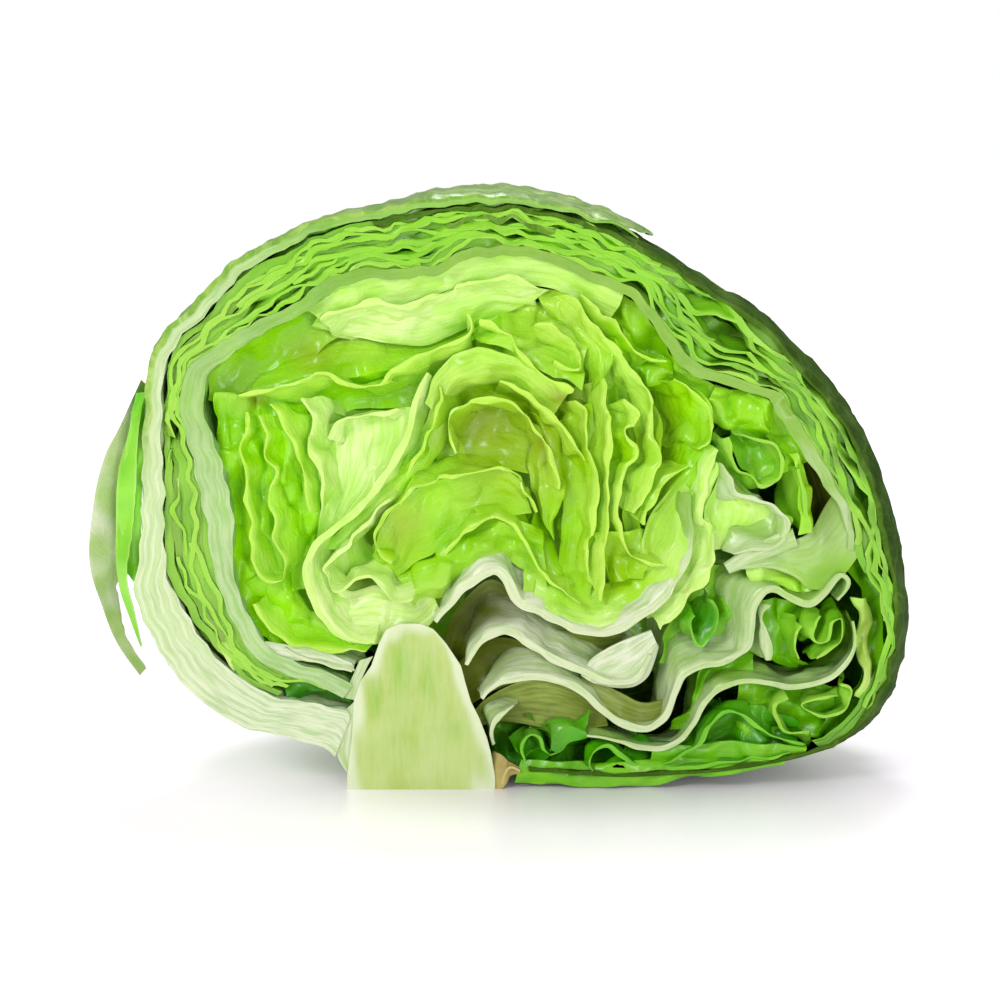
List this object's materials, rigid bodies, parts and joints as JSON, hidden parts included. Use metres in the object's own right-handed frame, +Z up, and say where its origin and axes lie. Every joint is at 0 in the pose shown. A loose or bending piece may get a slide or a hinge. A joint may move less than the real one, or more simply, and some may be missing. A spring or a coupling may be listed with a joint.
{
  "type": "iceberg lettuce half",
  "caption": "Half of an iceberg lettuce head cut lengthwise through its stem, with thick pale ribs, nested wrapper leaves and crumpled heart leaves open in the cut face.",
  "frame": {"origin": "middle of the bounding box at the height of the surface that the head stands on", "axes": "+X to the right along the cut face, which is the longest extent; +Y from the cut face back into the head; +Z up from the stem's cut end"},
  "size_m": [0.1638, 0.0777, 0.1204],
  "materials": {
    "deep_green": "fresh leaf, deep green",
    "heart_lime": "glossy fresh leaf, lime green",
    "loose_pale": "limp greyish leaf",
    "mid_green": "fresh leaf, mid green",
    "outer_green": "fresh outer leaf, dark green",
    "pale_rib": "pale cream to green leaf rib",
    "scar_brown": "dry leaf scar",
    "stem_flesh": "moist cut stem flesh"
  },
  "bodies": {
    "root": {"bottom_blade": "deep_green", "bright_blade": "heart_lime", "crinkled_twin_leaf": "heart_lime", "crown_ridge_leaf": "heart_lime", "curved_leaf": "heart_lime", "deep_cup_leaf": "mid_green", "deep_green_ridge": "deep_green", "finger_leaf": "mid_green", "first_rib_leaf": "pale_rib", "folded_white_leaf": "pale_rib", "frill_leaf": "deep_green", "green_cup_leaf": "deep_green", "heart_back_leaf": "heart_lime", "heart_lobe": "heart_lime", "hollow_rim_leaf": "heart_lime", "inner_cup_leaf": "mid_green", "leaf_scar": "scar_brown", "left_crinkle_leaf": "heart_lime", "left_frill_leaf": "heart_lime", "left_thin_leaf": "mid_green", "left_twin_leaf": "heart_lime", "long_white_rib_leaf": "pale_rib", "loose_green_strip": "deep_green", "loose_pale_leaf": "loose_pale", "lower_bright_blade": "heart_lime", "lower_left_lobe": "heart_lime", "lower_roll_leaf": "mid_green", "lower_white_rib_leaf": "pale_rib", "outer_back_leaf": "outer_green", "outer_right_leaf": "outer_green", "pale_cup_leaf": "pale_rib", "pale_panel_side": "heart_lime", "pale_panel_top": "heart_lime", "pointed_leaf": "heart_lime", "right_cascade_leaf": "pale_rib", "right_curl_leaf": "mid_green", "right_thin_leaf": "mid_green", "right_twin_leaf": "heart_lime", "roll_wrap_leaf": "mid_green", "rolled_margin": "mid_green", "rose_heart": "mid_green", "rose_petal": "mid_green", "saucer_rib_leaf": "pale_rib", "saucer_rim_leaf": "pale_rib", "second_rib_leaf": "pale_rib", "shiny_band_leaf": "heart_lime", "squiggle_leaf": "heart_lime", "stem": "stem_flesh", "tongue_leaf": "heart_lime", "top_back_leaf": "outer_green", "under_stem_rib_leaf": "pale_rib", "under_tongue_leaf": "heart_lime", "upper_blade": "heart_lime", "upper_ridge_leaf": "heart_lime", "upper_right_leaf": "mid_green", "white_arch_leaf": "pale_rib", "white_hook_leaf": "pale_rib", "white_tip_leaf": "pale_rib"}
  },
  "joints": []
}
